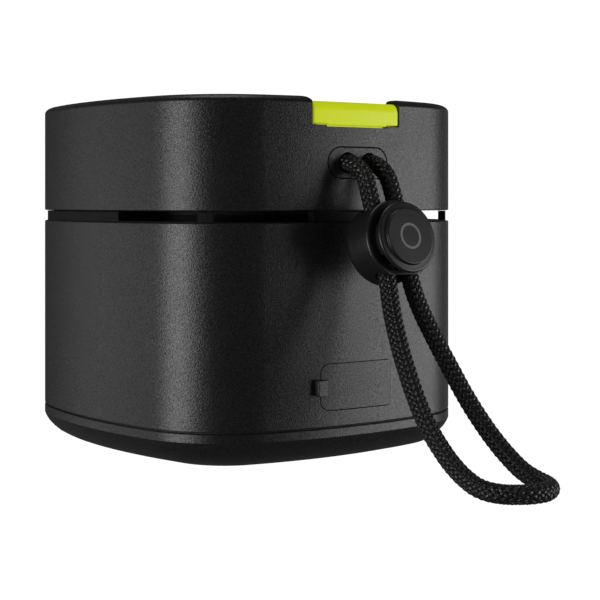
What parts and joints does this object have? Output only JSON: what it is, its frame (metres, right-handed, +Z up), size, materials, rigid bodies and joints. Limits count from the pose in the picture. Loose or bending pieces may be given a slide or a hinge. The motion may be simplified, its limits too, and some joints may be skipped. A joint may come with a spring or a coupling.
{
  "type": "shower speaker",
  "caption": "Compact two-storey cube speaker with a grille, push bar and keys on top, a port flap and a lanyard loop with cord lock at the rear.",
  "frame": {"origin": "centre of the underside of the foot pad, on the surface the speaker stands on", "axes": "+Z up, +Y to the rear face with the lanyard and port cover, +X to the left as seen from behind"},
  "size_m": [0.09, 0.1471, 0.083],
  "materials": {
    "shell_black": "fine-grained satin black ABS",
    "panel_black": "matte black plastic",
    "key_black": "soft-touch silicone",
    "lock_black": "smooth satin black acetal",
    "rubber_black": "matte black rubber",
    "cover_rubber": "matte black rubber",
    "steel": "plain steel",
    "grille_black": "black powder coat",
    "basket_steel": "black painted pressed steel",
    "ferrite": "sintered ferrite, dark grey",
    "copper": "enamelled copper wire",
    "cone_paper": "pressed black paper pulp",
    "spider_cloth": "resin-treated cotton",
    "lime": "satin lime green plastic",
    "board_green": "solder-resist on glass fibre",
    "cell_wrap": "shrink sleeve",
    "cradle_grey": "moulded plastic",
    "lead_red": "PVC insulated wire",
    "lens_white": "translucent light pipe",
    "cord_black": "braided black polyester cord"
  },
  "bodies": {
    "housing": {"base_tray": "shell_black", "body_shell": "shell_black", "head_shell": "shell_black", "anchor_plate": "shell_black", "top_panel": "panel_black", "cord_stop": "lock_black", "foot_pad": "rubber_black", "seam_seal": "rubber_black", "neck_gasket": "rubber_black", "driver_gasket": "rubber_black", "driver_surround": "rubber_black", "port_bay": "panel_black", "aux_jack": "panel_black", "usb_port": "steel", "radio_module": "steel", "key_switches": "steel", "power_switch": "steel", "base_screws": "steel", "head_screws": "steel", "driver_top_plate": "steel", "driver_yoke": "steel", "grille": "grille_black", "driver_basket": "basket_steel", "driver_magnet": "ferrite", "driver_spider": "spider_cloth", "main_board": "board_green", "key_board": "board_green", "switch_board": "board_green", "battery_cells": "cell_wrap", "battery_cradle": "cradle_grey", "battery_lead": "lead_red", "driver_lead": "lead_red", "status_lens": "lens_white", "lanyard_cord": "cord_black"},
    "cone": {"driver_cone": "cone_paper", "dust_cap": "cone_paper", "voice_coil": "copper"},
    "power_bar": {"power_bar": "lime"},
    "volume_down_key": {"volume_down_key": "key_black"},
    "play_key": {"play_key": "key_black"},
    "volume_up_key": {"volume_up_key": "key_black"},
    "port_cover": {"port_cover": "cover_rubber"},
    "cord_lock": {"cord_lock_barrel": "lock_black", "cord_lock_spring": "steel"},
    "cord_lock_plunger": {"cord_lock_plunger": "lock_black"}
  },
  "joints": [
    {"name": "cone_excursion", "type": "slide", "parent": "housing", "child": "cone", "axis": [0, 0, 1], "range_m": [-0.0015, 0.0015], "stiffness_N_per_m": 1500, "deforming": ["driver_surround", "driver_spider"]},
    {"name": "power_press", "type": "slide", "parent": "housing", "child": "power_bar", "axis": [0, 0, -1], "range_m": [0, 0.0003], "stiffness_N_per_m": 600},
    {"name": "volume_down_press", "type": "slide", "parent": "housing", "child": "volume_down_key", "axis": [0, 0, -1], "range_m": [0, 0.0005], "stiffness_N_per_m": 300},
    {"name": "play_press", "type": "slide", "parent": "housing", "child": "play_key", "axis": [0, 0, -1], "range_m": [0, 0.0005], "stiffness_N_per_m": 300},
    {"name": "volume_up_press", "type": "slide", "parent": "housing", "child": "volume_up_key", "axis": [0, 0, -1], "range_m": [0, 0.0005], "stiffness_N_per_m": 300},
    {"name": "port_cover_swing", "type": "hinge", "parent": "housing", "child": "port_cover", "pos_m": [-0.0098, 0.0446, 0.0178], "axis": [0, 0, 1], "range_deg": [0, 110], "stiffness_Nm_per_rad": 0.002},
    {"name": "cord_lock_slide", "type": "slide", "parent": "housing", "child": "cord_lock", "axis": [0, 0.3083, -0.9513], "range_m": [-0.002, 0.002]},
    {"name": "cord_lock_press", "type": "slide", "parent": "cord_lock", "child": "cord_lock_plunger", "axis": [0, -0.9703, -0.2419], "range_m": [0, 0.0012], "stiffness_N_per_m": 600, "deforming": ["cord_lock_spring"]}
  ]
}
